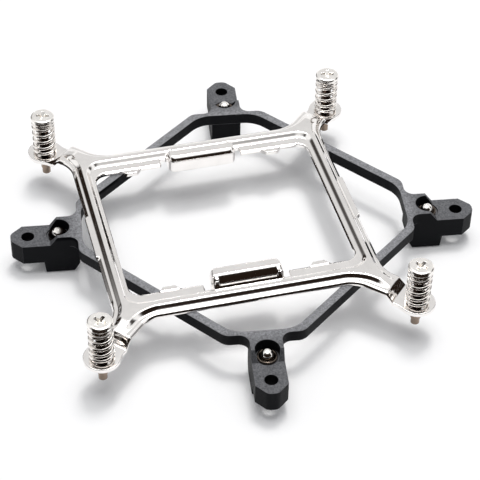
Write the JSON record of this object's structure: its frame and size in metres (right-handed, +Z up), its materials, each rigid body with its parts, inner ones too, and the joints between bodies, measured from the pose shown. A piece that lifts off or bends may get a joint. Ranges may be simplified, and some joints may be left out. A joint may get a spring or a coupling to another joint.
{
  "type": "cpu cooler mounting adapter",
  "caption": "Moulded octagonal backing frame with stepped feet, under a pressed steel retention frame with sprung captive screws at its corners, for bolting a cooler to a cpu socket.",
  "frame": {"origin": "middle of the backing frame, on the surface that its feet stand on", "axes": "+X and +Y run through two neighbouring feet, +Z points up to the screw heads"},
  "size_m": [0.1144, 0.1144, 0.0217],
  "materials": {
    "black_plastic": "fine grained black moulding",
    "nickel_sheet": "bright nickel plated pressing",
    "insert_metal": "bright nickel plated insert",
    "screw_steel": "bright nickel plated screw",
    "spring_steel": "bright nickel plated spring wire",
    "clip_steel": "plain spring steel"
  },
  "bodies": {
    "frame_stack": {"backing_frame": "black_plastic", "retention_frame": "nickel_sheet", "threaded_insert_right": "insert_metal", "threaded_insert_back": "insert_metal", "threaded_insert_left": "insert_metal", "threaded_insert_front": "insert_metal", "screw_spring_back_right": "spring_steel", "screw_spring_back_left": "spring_steel", "screw_spring_front_left": "spring_steel", "screw_spring_front_right": "spring_steel"},
    "clip_back_right": {"retaining_clip_back_right": "clip_steel"},
    "screw_back_right": {"sprung_screw_back_right": "screw_steel"},
    "clip_back_left": {"retaining_clip_back_left": "clip_steel"},
    "screw_back_left": {"sprung_screw_back_left": "screw_steel"},
    "clip_front_left": {"retaining_clip_front_left": "clip_steel"},
    "screw_front_left": {"sprung_screw_front_left": "screw_steel"},
    "clip_front_right": {"retaining_clip_front_right": "clip_steel"},
    "screw_front_right": {"sprung_screw_front_right": "screw_steel"}
  },
  "joints": [
    {"name": "press_back_right", "type": "slide", "parent": "frame_stack", "child": "clip_back_right", "axis": [0, 0, -1], "range_m": [0, 0.003], "stiffness_N_per_m": 1500, "springref_m": -0.002, "deforming": ["screw_spring_back_right"]},
    {"name": "turn_back_right", "type": "hinge", "parent": "clip_back_right", "child": "screw_back_right", "pos_m": [0.02643, 0.0415, 0.01035], "axis": [0, 0, 1], "continuous": true},
    {"name": "press_back_left", "type": "slide", "parent": "frame_stack", "child": "clip_back_left", "axis": [0, 0, -1], "range_m": [0, 0.003], "stiffness_N_per_m": 1500, "springref_m": -0.002, "deforming": ["screw_spring_back_left"]},
    {"name": "turn_back_left", "type": "hinge", "parent": "clip_back_left", "child": "screw_back_left", "pos_m": [-0.04783, 0.03096, 0.01035], "axis": [0, 0, 1], "continuous": true},
    {"name": "press_front_left", "type": "slide", "parent": "frame_stack", "child": "clip_front_left", "axis": [0, 0, -1], "range_m": [0, 0.003], "stiffness_N_per_m": 1500, "springref_m": -0.002, "deforming": ["screw_spring_front_left"]},
    {"name": "turn_front_left", "type": "hinge", "parent": "clip_front_left", "child": "screw_front_left", "pos_m": [-0.03729, -0.0433, 0.01035], "axis": [0, 0, 1], "continuous": true},
    {"name": "press_front_right", "type": "slide", "parent": "frame_stack", "child": "clip_front_right", "axis": [0, 0, -1], "range_m": [0, 0.003], "stiffness_N_per_m": 1500, "springref_m": -0.002, "deforming": ["screw_spring_front_right"]},
    {"name": "turn_front_right", "type": "hinge", "parent": "clip_front_right", "child": "screw_front_right", "pos_m": [0.03697, -0.03276, 0.01035], "axis": [0, 0, 1], "continuous": true}
  ]
}
